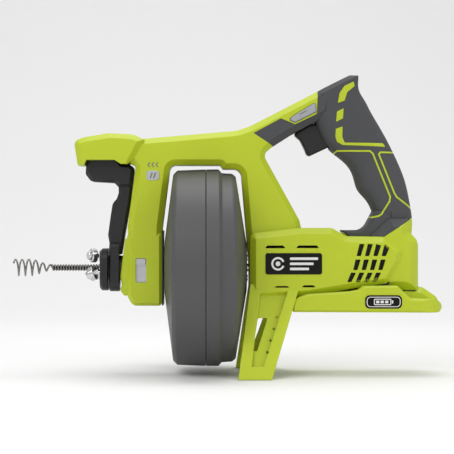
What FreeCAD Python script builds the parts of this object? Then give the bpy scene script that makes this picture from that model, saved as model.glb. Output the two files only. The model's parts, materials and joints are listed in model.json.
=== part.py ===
import FreeCAD, Part
import math
import os

# Cordless drum drain auger. Millimetres, +Z up, the cable leaves towards -X.
# The origin is on the ground, midway along the machine and on its split plane, Y = 0.

V = FreeCAD.Vector
os.makedirs("parts", exist_ok=True)

# Overall sizes
drum_radius = 98.0        # largest radius of the cable drum
drum_length = 81.5        # front hub face to rear hub face
nose_reach = 151.0        # drum's front hub face to the auger's tip
rear_reach = 193.5        # drum's rear hub face to the back of the battery foot
floor_gap = 7.5           # under the drum when the machine stands on its legs
rim_gap = 3.8             # between the drum's rim and the arch
leg_spread = 70.0         # mid-plane to the outside of a foot

# Shells
frame_depth = 20.0        # half the width of the arch and columns
hood_depth = 25.0
block_depth = 20.0
barrel_depth = 33.0
column_depth = 28.0
foot_depth = 38.0
flange_depth = 16.0
shell_wall = 3.2
over_wall = 1.6           # soft grip over the shell
edge_bevel = 5.5
badge_proud = 0.9

# Cable and auger
cable_radius = 3.175
bulb_radius = 8.9
bulb_length = 39.0
bulb_wire = 1.5
cable_turns = 15
coil_layers = 3

# Drum
drum_wall = 2.6
neck_radius = 9.0
neck_bore = 6.0
neck_length = 11.0
run_gap = 0.05            # radial clearance of a running fit
step_drop = 3.7           # drum's rear band is this much smaller
seam_x_share = 41.0       # front hub face to the seam between the drum's halves

# Gear train
module_mm = 0.75
sun_teeth = 12
planet_teeth = 24
ring_teeth = 60
gear_width = 9.0
pressure_angle = math.radians(25)
tooth_backlash = 0.12
planet_count = 3
pin_radius = 2.0
spindle_radius = 4.0
bearing_radius = 11.0
motor_radius = 22.0
motor_length = 60.0
rotor_shaft_radius = 2.5
fan_radius = 20.0

# Feed head
feed_roller_radius = 7.0
feed_roller_width = 6.0
roller_axle_radius = 2.5
roller_orbit = 12.0
roller_skew = 25.0
head_neck_radius = 12.0
guide_outer = 5.4
guide_bore = 4.1
lever_travel = 6.0
carrier_travel = 1.5
lever_lean = 7.8          # degrees that the feed lever slides off the vertical

# Controls and fasteners
trigger_half_width = 7.5
trigger_travel = 6.0
selector_proud = 2.0
hub_screw_circle = 14.0
hub_head_radius = 2.8
screw_radius = 1.5
screw_head_radius = 3.3
screw_seat = 13.0

# Datums that everything else is placed from
total_length = nose_reach + drum_length + rear_reach
front_x = nose_reach - total_length / 2
rear_x = front_x + drum_length
seam_x = front_x + seam_x_share
axis_z = drum_radius + floor_gap
arch_z = axis_z + drum_radius + rim_gap
lean = math.radians(lever_lean)
lever_axis = V(math.sin(lean), 0, math.cos(lean))
grip_up = V(-0.4472, 0, 0.8944)
grip_back = V(0.8944, 0, 0.4472)


def low_front(dx, dz, r=0.0):
    """Corner placed from the drum's front face and its axis."""
    return (front_x + dx, axis_z + dz, r)


def top_front(dx, dz, r=0.0):
    """Corner placed from the drum's front face and the arch."""
    return (front_x + dx, arch_z + dz, r)


def low_rear(dx, dz, r=0.0):
    """Corner placed from the drum's rear face and its axis."""
    return (rear_x + dx, axis_z + dz, r)


def top_rear(dx, dz, r=0.0):
    """Corner placed from the drum's rear face and the arch."""
    return (rear_x + dx, arch_z + dz, r)


drive_room = module_mm * ring_teeth / 2 + 2.5 + 1.6 + 0.4
grip_base = V(rear_x + 131.5, 0, axis_z + 34.5)
grip_corner = V(top_rear(69.5, 73.0)[0], 0, top_rear(69.5, 73.0)[1])
grip_top = (grip_corner - grip_base).dot(grip_up)


def grip_point(s, t, r=0.0):
    """Corner placed along the grip, s up it and t towards its back."""
    p = grip_base + grip_up * s + grip_back * t
    return (p.x, p.z, r)


# ---- general shapes

def rounded_face(corners, y=0.0):
    """Face in the XZ plane whose corners (x, z, radius) are rounded."""
    count = len(corners)
    entries, exits, middles = [], [], []
    for i in range(count):
        x, z, r = corners[i]
        p = V(x, y, z)
        before = V(corners[i - 1][0], y, corners[i - 1][1]) - p
        after = V(corners[(i + 1) % count][0], y, corners[(i + 1) % count][1]) - p
        half = before.getAngle(after) / 2
        r = min(r, 0.45 * min(before.Length, after.Length) * math.tan(half))
        if r < 0.05 or half > math.pi / 2 - 0.01:
            entries.append(p)
            exits.append(p)
            middles.append(None)
            continue
        before.normalize()
        after.normalize()
        cut = r / math.tan(half)
        bisector = before + after
        bisector.normalize()
        entries.append(p + before * cut)
        exits.append(p + after * cut)
        middles.append(p + bisector * (r / math.sin(half) - r))
    edges = []
    for i in range(count):
        if exits[i - 1].distanceToPoint(entries[i]) > 1e-5:
            edges.append(Part.makeLine(exits[i - 1], entries[i]))
        if middles[i] is not None:
            edges.append(Part.Arc(entries[i], middles[i], exits[i]).toShape())
    return Part.Face(Part.Wire(edges))


def inset(corners, gap):
    """The same outline moved inwards by gap."""
    count = len(corners)
    area = sum(corners[i - 1][0] * corners[i][1] - corners[i][0] * corners[i - 1][1]
               for i in range(count))
    turn = 1 if area > 0 else -1
    lines = []
    for i in range(count):
        x0, z0, _ = corners[i]
        x1, z1, _ = corners[(i + 1) % count]
        length = math.hypot(x1 - x0, z1 - z0)
        nx, nz = -turn * (z1 - z0) / length, turn * (x1 - x0) / length
        lines.append((nx, nz, nx * x0 + nz * z0 + gap))
    result = []
    for i in range(count):
        a, b = lines[i - 1], lines[i]
        det = a[0] * b[1] - a[1] * b[0]
        x = (a[2] * b[1] - b[2] * a[1]) / det
        z = (a[0] * b[2] - b[0] * a[2]) / det
        convex = det * turn > 0
        r = corners[i][2]
        result.append((x, z, max(r - gap, 0.3) if convex else r + gap))
    return result


def prism(corners, y0, y1):
    return rounded_face(corners, y0).extrude(V(0, y1 - y0, 0))


def suit_bevel(corners, bevel):
    """Outward corners rounded less than the bevel are opened up to it or made square."""
    count = len(corners)
    area = sum(corners[i - 1][0] * corners[i][1] - corners[i][0] * corners[i - 1][1]
               for i in range(count))
    result = []
    for i in range(count):
        x, z, r = corners[i]
        ax, az = x - corners[i - 1][0], z - corners[i - 1][1]
        bx, bz = corners[(i + 1) % count][0] - x, corners[(i + 1) % count][1] - z
        shorter = min(math.hypot(ax, az), math.hypot(bx, bz))
        sine = (ax * bz - az * bx) * math.copysign(1, area)
        sine = sine / (math.hypot(ax, az) * math.hypot(bx, bz))
        if sine > 0 and r <= bevel + 0.3:
            half = (math.pi - math.asin(min(sine, 1.0))) / 2
            fits = 0.45 * shorter * math.tan(half) > bevel + 0.7
            r = bevel + 0.6 if fits and r > 0 else 0.0
        result.append((x, z, r))
    return result


def pad(corners, depth, bevel, above=-1e3):
    """Near half of a moulding, -depth to the split plane, its outer edges bevelled."""
    body = prism(suit_bevel(corners, bevel), -depth, 0)
    rim = [e for e in body.Edges if all(abs(v.Y + depth) < 1e-6 for v in e.Vertexes)]
    return body.makeChamfer(bevel, [e for e in rim if e.CenterOfMass.z > above])


def hollow(corners, depth, bevel, gap):
    """Inside of a bevelled moulding: two steps that stay gap away from its faces."""
    step = 0.7 * bevel
    wide = rounded_face(corners, 0.0).makeOffset2D(-gap, 0, False, False, False)
    tight = rounded_face(corners, 0.0).makeOffset2D(-gap - step, 0, False, False, False)
    wide = wide.extrude(V(0, -(depth - gap - step), 0))
    tight = tight.extrude(V(0, -(depth - gap), 0))
    return wide.fuse(tight).removeSplitter()


def turned(profile, x_axis_z=0.0):
    """Solid of revolution about the drive axis; the profile is (x, radius, rounding)."""
    face = rounded_face([(x, r, k) for x, r, k in profile])
    solid = face.revolve(V(0, 0, 0), V(1, 0, 0), 360)
    solid.translate(V(0, 0, axis_z + x_axis_z))
    return solid


def rod(radius, x0, x1, y=0.0, z=None):
    z = axis_z if z is None else z
    return Part.makeCylinder(radius, x1 - x0, V(x0, y, z), V(1, 0, 0))


def cross_rod(radius, x, z, y0, y1):
    return Part.makeCylinder(radius, y1 - y0, V(x, y0, z), V(0, 1, 0))


def block(x0, x1, y0, y1, z0, z1):
    return Part.makeBox(x1 - x0, y1 - y0, z1 - z0, V(x0, y0, z0))


def mirrored(shape):
    return shape.mirror(V(0, 0, 0), V(0, 1, 0))


def fused(shapes):
    result = shapes[0].multiFuse(shapes[1:]) if len(shapes) > 1 else shapes[0]
    return result.removeSplitter()


def save(name, shape):
    solids = shape.Solids
    kept = solids[0] if len(solids) == 1 else Part.makeCompound(solids)
    kept.exportStep("parts/%s.step" % name)
    print(name, len(solids), round(kept.Volume), kept.isValid())


# ---- outlines of the housing

def arch_outline():
    """Front column, top beam, rear column and the bar that runs to the grip."""
    return [
        top_front(-21, 26, 8), top_rear(-10, 34, 30), top_rear(3.1, 38.4, 25),
        top_rear(88, 82.3, 3), top_rear(82, 50.5, 2), top_rear(44.5, 30.8, 8),
        top_rear(25.5, 18.7, 8), top_rear(16, 10.5, 9), low_rear(51.9, 47.4),
        low_rear(58, 22), low_rear(2.5, -12), low_rear(1.9, 5.5),
        top_rear(-5.8, -3.8, 8), top_rear(-23.5, -3.8, 1.5), top_rear(-26.3, 0, 1.5),
        top_front(5.6, 0, 6), low_front(-2.3, 39.5), low_front(-2.3, 12),
        low_front(-35, 12), low_front(-36.6, 40.5), top_front(-28.5, -1.6, 4),
        top_front(-35, 2), top_front(-36, 22),
    ]


def hood_outline():
    """Palm hood over the feed lever."""
    return [
        top_front(-89.2, 23.5, 6), top_front(-77.6, 27.5, 14), top_front(-55, 31.2, 25),
        top_front(-31, 30.0, 14), top_front(-20, 25), top_front(-30, 6),
        top_front(-36.5, 0.9), top_front(-43, 0.9), top_front(-49, 4.8),
        top_front(-76.6, 4.8), top_front(-79, -0.2), top_front(-85.5, -0.2),
    ]


def block_outline():
    """Front block that holds the feed head and the drum's front bearing."""
    return [
        low_front(-37, 34, 3), low_front(-2.3, 35, 1), low_front(-2.3, -37.3, 1.5),
        low_front(-31, -37.3, 7), low_front(-36.2, -29, 3),
    ]


def flange_outline():
    return [
        low_front(-38.9, 29.3, 1), low_front(-30, 29.3), low_front(-30, -27.4),
        low_front(-40, -27.4, 2), low_front(-44, -22.2, 3.6), low_front(-42.2, -17, 2),
        low_front(-43.9, -8.5, 4), low_front(-42.8, -1, 6),
    ]


def barrel_outline():
    """Motor barrel behind the drum."""
    return [
        low_rear(2.5, -31, 1), low_rear(2.5, 34, 3), low_rear(52, 39.6, 4),
        low_rear(83, 39.6, 4), low_rear(98, 31.4, 6), low_rear(134.2, 30.8, 3),
        low_rear(153.9, 18.2, 3), low_rear(150.5, 6.2, 4), low_rear(138.6, -15.3, 4),
        low_rear(113, -18.5, 4), low_rear(61, -27.3, 6),
    ]


def column_outline():
    """Rear column round the battery's post."""
    return [
        low_rear(161, 49), low_rear(160, 36.5, 3), low_rear(167.8, 28, 3),
        low_rear(170.4, 21, 4), low_rear(170.4, -22), low_rear(122, -22),
        low_rear(122, 32), low_rear(140, 49),
    ]


def foot_outline():
    """Shoe that the battery hangs from."""
    return [
        low_rear(42.6, -42.6, 2), low_rear(46.6, -29.5, 9), low_rear(58, -25.2, 9),
        low_rear(100, -22.4, 10), low_rear(108, -21, 3), low_rear(113, -17.2, 3),
        low_rear(146.5, -16.8, 3), low_rear(156, -26, 3), low_rear(160, -29.3, 4),
        low_rear(186, -30.4, 5), low_rear(rear_reach, -37, 4), low_rear(rear_reach - 4.5, -43.3, 4),
    ]


def grip_root_outline():
    """Foot of the grip, filleted onto the barrel."""
    return [
        low_rear(94.2, 37.4, 0), low_rear(116.5, 37.4, 13), low_rear(127, 57),
        low_rear(145, 57), low_rear(145, 29), low_rear(99.5, 29),
    ]


def ramp_outline():
    """Sloping back of the shoe, along the middle."""
    return [
        low_rear(150, -18, 2), low_rear(174, -19, 8), low_rear(187.5, -28.3, 6),
        low_rear(rear_reach - 0.5, -38, 3), low_rear(rear_reach - 6, -42), low_rear(150, -42),
    ]


def leg(side_wall=3.0):
    """Splayed stand leg: two ribs, a foot and a set-back web with a window."""
    knee = axis_z - 30.5
    splay = (leg_spread - barrel_depth - 4) / knee

    def slab(x_low, x_high, z0, z1, inner, outer):
        """Sheared slab; x_low and x_high are (front, rear) at z0 and z1."""
        def ring(z, xs):
            y_out = -(leg_spread - z * splay) + outer
            y_in = -(leg_spread - z * splay) + inner
            points = [V(xs[0], y_out, z), V(xs[1], y_out, z), V(xs[1], y_in, z), V(xs[0], y_in, z)]
            return Part.makePolygon(points + points[:1])
        return Part.makeLoft([ring(z0, x_low), ring(z1, x_high)], True, True)

    def front(z):
        return rear_x - 9.5 + 10.5 * z / knee

    def back(z):
        return rear_x + 22.5 + 24.5 * z / knee

    depth = 15.0
    low, high = 12.0, axis_z - 15.5
    front_in = [front(low) + 11.5, front(high) + 10.5]
    back_in = [back(low) - 10.5, back(high) - 10.0]
    front_rib = slab((front(0), front(0) + 11), (front(high), front_in[1]), 0, high, depth, 0)
    back_rib = slab((back(0) - 12, back(0)), (back_in[1], back(high)), 0, high, depth, 0)
    sole = slab((front(0), back(0)), (front(low), back(low)), 0, low, depth, 0)
    web = slab((front(0) + 4, back(0) - 4), (front(high) + 4, back(high) - 4), 0, high,
               5.5 + side_wall, 5.5)
    whole = fused([front_rib, back_rib, sole, web])
    window = [
        (front(low) + 12.6, low + 14, 1.5), (front(low) + 16.6, low + 14, 1.5),
        (front(low) + 27.4, low + 45.5, 1.5), (front(low) + 17.8, low + 45, 1.5),
    ]
    whole = whole.cut(prism(window, -leg_spread - 5, 0))
    for x0, x1 in (((front(low) + 3, front(high) + 3), (front_in[0] - 3, front_in[1] - 3)),
                   ((back_in[0] + 3, back_in[1] + 3), (back(low) - 3, back(high) - 3))):
        groove = slab((x0[0], x1[0]), (x0[1], x1[1]), low, high, depth + 0.5, 8.5)
        whole = whole.cut(groove)
    for k in range(4):
        z = low + 13 + 11 * k
        x = front(low) + 26.5 + (z - low - 13) * 0.30
        whole = whole.cut(cross_rod(1.2, x, z, -leg_spread - 5, 0))
    return whole


# ---- housing shells and soft grip

def grip_sections():
    """Stations of the grip: s, front t, back t, half width, squareness."""
    return [
        (-18, 7, 27, 16.0, 2.8), (0, 3.4, 37.6, 17.0, 2.6), (17, 3.2, 43.0, 17.2, 2.5),
        (32, 4.2, 46.8, 17.2, 2.4), (56, 1.7, 49.2, 17.0, 2.4), (80, 0.3, 49.4, 17.2, 2.4),
        (grip_top - 58, -6.5, 48.6, 17.8, 2.6), (grip_top - 44, -8.6, 47.5, 18.6, 2.9),
        (grip_top - 22, -7.5, 46.3, 19.6, 3.3), (grip_top - 12, -5.0, 48.0, 20.2, 3.6),
        (grip_top - 3, 1.5, 52.0, 20.3, 3.8), (grip_top, 5.0, 49.5, 20.0, 3.8),
    ]


def grip_body(gap, top_round):
    """Whole grip and head, lofted through superellipses, moved inwards by gap."""
    wires = []
    steps = 24
    sections = grip_sections()
    for i, (s, t0, t1, half, power) in enumerate(sections):
        if i == 0:
            s = s + gap
        if i >= len(sections) - 2:
            s = s - gap
        centre = (t0 + t1) / 2
        a = (t1 - t0) / 2 - gap
        b = half - gap
        points = []
        for k in range(steps):
            angle = 2 * math.pi * k / steps
            c, d = math.cos(angle), math.sin(angle)
            t = centre + a * math.copysign(abs(c) ** (2 / power), c)
            y = b * math.copysign(abs(d) ** (2 / power), d)
            p = grip_base + grip_up * s + grip_back * t
            points.append(V(p.x, y, p.z))
        curve = Part.BSplineCurve()
        curve.interpolate(Points=points, PeriodicFlag=True,
                          Parameters=[float(k) for k in range(steps + 1)])
        wires.append(Part.Wire(curve.toShape()))
    solid = Part.makeLoft(wires, True, False)
    if top_round:
        top_faces = [f for f in solid.Faces if f.normalAt(0, 0).dot(grip_up) > 0.99
                     and f.BoundBox.ZMax > solid.BoundBox.ZMax - 25]
        solid = solid.makeChamfer(top_round, top_faces[0].Edges)
    half_space = block(-400, 400, -100, 0, -50, 600)
    return solid.common(half_space)


def moulding_list():
    """Outline, half width, edge bevel and the height that the bevel starts from."""
    b = edge_bevel
    return [
        (arch_outline(), frame_depth, b, -1e3),
        (hood_outline(), hood_depth, b - 0.5, arch_z + 14),
        (block_outline(), block_depth, b - 2.5, -1e3),
        (barrel_outline(), barrel_depth, b + 0.5, -1e3),
        (column_outline(), column_depth, b + 3.5, -1e3),
        (foot_outline(), foot_depth, b - 3.5, -1e3),
        (ramp_outline(), 20, b, axis_z - 38),
        (grip_root_outline(), 18, b - 2.5, axis_z + 31),
    ]


def plan_rounded(body, x_end, depth, radius):
    """Rounds the rear upright edge of a half moulding."""
    corner = block(x_end - radius, x_end + 9, -depth - 5, radius - depth, -10, 400)
    keep = Part.makeCylinder(radius, 410, V(x_end - radius, radius - depth, -10), V(0, 0, 1))
    return body.cut(corner.cut(keep))


def rounded_backs(bodies, gap):
    """Column and shoe are the fifth and sixth mouldings."""
    bodies[4] = plan_rounded(bodies[4], rear_x + 170.4 - gap, column_depth - gap, 18.0 - gap)
    bodies[5] = plan_rounded(bodies[5], rear_x + rear_reach - gap, foot_depth - gap, 24.0 - gap)
    return bodies


def outer_mouldings():
    bodies = rounded_backs([pad(*entry) for entry in moulding_list()], 0.0)
    return bodies + [grip_body(0.0, 4.5)]


def inner_mouldings(gap):
    """The same half mouldings moved inwards by gap."""
    bodies = [hollow(c, depth, bevel, gap) for c, depth, bevel, _ in moulding_list()]
    return rounded_backs(bodies, gap) + [grip_body(gap, 3.0)]


def soft_region():
    """Side view of the area that the soft grip covers."""
    return [
        top_rear(6.5, 31.5), top_rear(33.5, 46), top_rear(47.5, 40.2), top_rear(69, 50.4),
        top_rear(70.2, 76), top_rear(66, 100), top_rear(130, 105), low_rear(200, 150),
        low_rear(200, 55), low_rear(163, 49.2), low_rear(134.9, 31), low_rear(99, 31.5),
        low_rear(93.5, 37.5), low_rear(84, 45), low_rear(70, 80), top_rear(35, 8),
        top_rear(25.2, 19.2),
    ]


def grip_stripes():
    """Shell-coloured ribs that show through the soft grip, as (s, t) outlines."""
    top = grip_top
    shapes = [
        [(top - 7.5, 44), (top - 12, 43), (top - 14, 33.5), (top - 20.5, 27.2),
         (top - 19.5, 20), (top - 11.5, 26), (top - 7.3, 33.6)],
        [(top - 26.8, 15.6), (top - 26.6, 23.2), (top - 35.4, 18), (top - 35.5, 10.2)],
        [(top - 41.5, 7.0), (top - 42.2, 14.2), (top - 51.5, 9.4), (top - 57.5, 9.0),
         (top - 75, 43), (top - 79.6, 44), (top - 59, 6.4), (top - 53.5, 2.6),
         (top - 48.3, 3.3)],
    ]
    return shapes


def grip_lines():
    """Narrow raised lines round the two grip pads, as (s, t) paths."""
    first = [(91, -4), (91.6, -1), (77, 27.6), (73.4, 29.1), (27.3, 25.3), (23.6, 22.6),
             (16, 10), (15.6, 6.5), (17.4, 0)]
    second = [(64.5, 50), (71.2, 36.6), (70.2, 34.2), (28.6, 30.7), (24.2, 31.2), (7, 40)]
    return [first, second]


def line_prisms(path, width):
    """One thin block for each stretch of a line, overlapping at the corners."""
    blocks = []
    for (s0, t0), (s1, t1) in zip(path, path[1:]):
        length = math.hypot(s1 - s0, t1 - t0)
        ds, dt = (s1 - s0) / length, (t1 - t0) / length
        h = width / 2
        s0, t0, s1, t1 = s0 - ds * h * 0.8, t0 - dt * h * 0.8, s1 + ds * h * 0.8, t1 + dt * h * 0.8
        corners = [(s0 - dt * h, t0 + ds * h), (s1 - dt * h, t1 + ds * h),
                   (s1 + dt * h, t1 - ds * h), (s0 + dt * h, t0 - ds * h)]
        blocks.append(prism([grip_point(s, t) for s, t in corners], -60, 0))
    return blocks


def trigger_slot():
    corners = [
        top_rear(44.5, 32.3), top_rear(60.5, 42.5), top_rear(66.5, 48.6), top_rear(86, 48.6),
        top_rear(95.7, 24.7), top_rear(78.8, 15.3), top_rear(62.5, 7.3), top_rear(50.5, 17.7),
    ]
    return prism(corners, -trigger_half_width - 0.8, 0)


def selector_outline():
    return [
        top_rear(41.7, 44.6, 1), top_rear(45.2, 48.0, 1), top_rear(67.3, 61.5, 1.5),
        top_rear(68.5, 52.6, 1.5), top_rear(47.4, 42.0, 1),
    ]


def lever_slot():
    """Opening under the hood that the feed lever rises into."""
    corners = [
        top_front(-79.2, -8), top_front(-79.2, 16), top_front(-27.5, 16),
        top_front(-28.6, -1), top_front(-29.6, -8),
    ]
    return prism(corners, -14.8, 0)


def vent_cuts():
    """Slanted air slots over the fan, three rows of four, and four thin ones."""
    cuts = []
    rows = [(12.0, 23.8, 106.9, 2.9), (-1.7, 8.6, 103.6, 2.4), (-13.6, -4.2, 97.7, 3.8)]
    for row, (z0, z1, x0, shift) in enumerate(rows):
        for k in range(4):
            x = x0 + 8.2 * k
            drop = 3.6 if row == 0 and k == 3 else (1.4 if row == 0 and k == 2 else 0)
            corners = [low_rear(x, z0, 0.6), low_rear(x + 4.3, z0, 0.6),
                       low_rear(x + 5.0 + shift, z1 - drop, 0.6), low_rear(x + shift, z1, 0.6)]
            cuts.append(prism(corners, -barrel_depth - 1, -barrel_depth + shell_wall + 2))
    thin = [(17, 37.5, 19.7, 2.6), (47.5, 70.5, 19.8, 2.6), (26, 41.5, -18.9, 1.6),
            (53, 67, -18.6, 2.0)]
    for x0, x1, z, tall in thin:
        corners = [low_rear(x0, z, 0.6), low_rear(x0 + 2.4, z + tall, 0.6),
                   low_rear(x1 - 2.4, z + tall, 0.6), low_rear(x1, z, 0.6)]
        cuts.append(prism(corners, -barrel_depth - 1, -barrel_depth + shell_wall + 2))
    return cuts


receiver = {"x0": rear_x + 132.5, "x1": rear_x + 166.6, "y": 19.0, "z0": axis_z - 43.3,
            "z1": axis_z + 12.0, "wall": 2.2}


def drive_cuts():
    """Room for the drive train, the bearings, the feed head and the battery's post."""
    r = receiver
    return [
        rod(drive_room, rear_x + 2.5 + shell_wall, rear_x + 130),
        rod(spindle_radius + 2, rear_x, rear_x + 8),
        rod(neck_radius + 5, front_x - 8, front_x),
        rod(head_neck_radius, front_x - 50, front_x - 30),
        block(r["x0"], r["x1"], -r["y"], 0, r["z0"] - 1, r["z1"]),
        prism([low_front(-28.2, -14.2, 1), low_front(-28.2, 9.5, 1), low_front(-18, 9.5, 1),
               low_front(-18, -14.2, 1)], -block_depth - 1, -10),
    ]


def screw_places():
    """Screws that close the housing: x, z."""
    places = [top_front(-12, 14), low_front(-19, 52), low_front(-17, -28), top_rear(-32, 17),
              top_rear(7, 8), low_rear(25, 55), low_rear(150, 33), low_rear(78, -34.5),
              low_rear(176, -35.5)]
    return [(x, z) for x, z, _ in places]


def build_housing():
    """Returns left shell, right shell, left grip, right grip."""
    outer_parts = outer_mouldings()
    flange = pad(flange_outline(), flange_depth, 1.5)
    outer = fused(outer_parts + [flange, leg()])
    print("outer", outer.isValid(), len(outer.Solids))
    core = fused(inner_mouldings(over_wall))
    print("core", core.isValid())
    soft = outer.common(prism(soft_region(), -60, 0)).cut(core)
    for corners in grip_stripes():
        soft = soft.cut(prism([grip_point(s, t, 0.6) for s, t in corners], -60, 0))
    lines = [b for path in grip_lines() for b in line_prisms(path, 1.7)]
    soft = soft.cut(lines)
    soft = soft.cut([trigger_slot()])
    pieces = [s for s in soft.Solids if s.Volume > 60]
    soft = Part.makeCompound(pieces)
    print("soft", soft.isValid(), len(pieces), [round(s.Volume) for s in pieces])
    cavity = fused(inner_mouldings(shell_wall))
    print("cavity", cavity.isValid())
    bosses = []
    for x, z in screw_places():
        bosses.append(cross_rod(5.0, x, z, -foot_depth - 5, 0))
    ribs = fused([outer.common(b) for b in bosses])
    shell = outer.cut(cavity)
    shell = shell.fuse(ribs)
    shell = shell.cut(pieces)
    shell = shell.cut(drive_cuts() + vent_cuts() + [trigger_slot(), lever_slot()])
    shell = shell.cut(prism([(x, z, r) for x, z, r in inset(selector_outline(), -0.4)], -60, 0))
    print("shell", shell.isValid(), [round(s.Volume, 1) for s in shell.Solids])
    shell = max(shell.Solids, key=lambda s: s.Volume)
    holes = [cross_rod(screw_radius, x, z, -12, 0) for x, z in screw_places()]
    left = shell.cut(holes)
    right = mirrored(shell)
    soft_right = mirrored(soft)
    clear = [cross_rod(screw_radius + 0.05, x, z, 0, screw_seat) for x, z in screw_places()]
    sinks = [cross_rod(screw_head_radius + 0.3, x, z, screw_seat, 60) for x, z in screw_places()]
    right = right.cut(clear + sinks)
    # room for the heads of the hub screws as the drum turns
    recess = rod(hub_screw_circle + hub_head_radius + 0.9, rear_x - 3, rear_x + 1.9)
    return left.cut(recess), right.cut(recess), soft, soft_right


def housing_screws():
    """Pan-head screws, driven in from the right side."""
    screws = []
    for x, z in screw_places():
        shank = cross_rod(screw_radius, x, z, -11.5, screw_seat)
        head = cross_rod(screw_head_radius, x, z, screw_seat, screw_seat + 2.4)
        rim = [e for e in head.Edges if abs(e.BoundBox.YMin - screw_seat - 2.4) < 1e-6]
        head = head.makeFillet(0.9, rim)
        socket = Part.makePolygon([
            V(x + 1.5 * math.cos(math.radians(60 * k)), screw_seat + 1.0,
              z + 1.5 * math.sin(math.radians(60 * k))) for k in range(7)])
        recess = Part.Face(socket).extrude(V(0, 2, 0))
        screws.append(shank.fuse(head).cut(recess).removeSplitter())
    return Part.makeCompound(screws)


def plate(centre, width, height, rounding, y_face, thick=badge_proud):
    """Rounded badge that stands on a side face."""
    x, z, _ = centre
    corners = [(x - width / 2, z - height / 2, rounding), (x + width / 2, z - height / 2, rounding),
               (x + width / 2, z + height / 2, rounding), (x - width / 2, z + height / 2, rounding)]
    body = prism(corners, -y_face - thick, -y_face)
    rim = [e for e in body.Edges if all(abs(v.Y + y_face + thick) < 1e-6 for v in e.Vertexes)]
    return body.makeChamfer(thick * 0.4, rim)


# ---- drum

def drum_profile_front():
    out_x = front_x
    seam = seam_x
    w = drum_wall
    r = drum_radius
    return [
        (out_x - neck_length, neck_bore, 0), (out_x - neck_length, neck_radius, 0),
        (out_x, neck_radius, 0), (out_x, 28, 3), (out_x + 8.4, r - 5.2, 4),
        (out_x + 12.5, r - 1.1, 3), (seam - 0.7, r, 0), (seam - 0.1, r - 0.8, 0),
        (seam - 0.1, r - w, 0),
        (out_x + 13, r - 1.2 - w, 3), (out_x + 8.4 + w, r - 6.6, 3), (out_x + w, 28, 3),
        (out_x + w, neck_bore, 0),
    ]


def drum_rear_shell():
    """Rear half of the drum, with a lip inside the front half."""
    w = drum_wall
    r = drum_radius
    x = rear_x
    main = turned([
        (seam_x, r - 0.8, 0), (seam_x + 0.6, r, 0), (x - 28, r, 0.8),
        (x - 24.8, r - step_drop, 0.8), (x - 14.5, r - step_drop - 0.6, 4),
        (x - 11, r - 7.2, 3), (x, 24, 3), (x, spindle_radius + 1, 0),
        (x - w, spindle_radius + 1, 0), (x - w, 24, 3),
        (x - 11 - w, r - 8.6, 3), (x - 15.5, r - step_drop - w - 0.6, 2),
        (x - 25.8, r - step_drop - w, 1), (x - 29, r - w, 1), (seam_x, r - w, 0),
    ])
    lip = turned([(seam_x - 3, r - w - 2, 0), (seam_x + 5, r - w - 2, 0),
                  (seam_x + 5, r - w, 0), (seam_x, r - w, 0), (seam_x, r - w - 0.15, 0),
                  (seam_x - 3, r - w - 0.15, 0)])
    shell = main.fuse(lip).removeSplitter()
    return shell.cut([hub_screw_hole(k) for k in range(4)])


def drum_front_shell():
    body = turned(drum_profile_front())
    slot = block(front_x - 1, front_x + 9, -3, 3, axis_z - 58, axis_z - 55.2)
    slot.rotate(V(0, 0, axis_z), V(1, 0, 0), -55)
    return body.cut(slot)


def drum_spindle():
    """Flange in the drum, spindle through the bearing and the second carrier with its pins."""
    x = rear_x
    flange = rod(20, x - drum_wall - 3.4, x - drum_wall)
    shaft = rod(spindle_radius, x - drum_wall - 3.4, x + 15)
    plate_x = x + 15
    plate_disc = rod(orbit_radius + pin_radius + 3.5, plate_x, plate_x + 3.5)
    pins = [carrier_pin(plate_x + 3.5, k) for k in range(planet_count)]
    body = fused([flange, shaft, plate_disc] + pins)
    return body.cut([hub_screw_hole(k) for k in range(4)])


def hub_screw_hole(k):
    angle = math.radians(45 + 90 * k)
    y = hub_screw_circle * math.cos(angle)
    z = axis_z + hub_screw_circle * math.sin(angle)
    return rod(screw_radius, rear_x - drum_wall - 8, rear_x + 1, y, z)


def hub_screws():
    """Four screws from the hub's rear face into the flange."""
    screws = []
    for k in range(4):
        angle = math.radians(45 + 90 * k)
        y = hub_screw_circle * math.cos(angle)
        z = axis_z + hub_screw_circle * math.sin(angle)
        shank = rod(screw_radius, rear_x - drum_wall - 3.0, rear_x, y, z)
        head = rod(hub_head_radius, rear_x, rear_x + 1.1, y, z)
        screws.append(shank.fuse(head).removeSplitter())
    return Part.makeCompound(screws)


def cable_coil():
    """Wound cable in the drum, one ring for each turn."""
    rings = []
    per_layer = cable_turns // coil_layers
    pitch = 2 * cable_radius + 0.15
    ring_radius = drum_radius - drum_wall - 8.5 - cable_radius
    start = seam_x - pitch * (per_layer - 1) / 2 - 1
    for layer in range(coil_layers):
        for k in range(per_layer):
            ring = Part.makeTorus(ring_radius - layer * pitch, cable_radius,
                                  V(start + k * pitch, 0, axis_z), V(1, 0, 0))
            rings.append(ring)
    return Part.makeCompound(rings)


# ---- gear train

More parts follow.
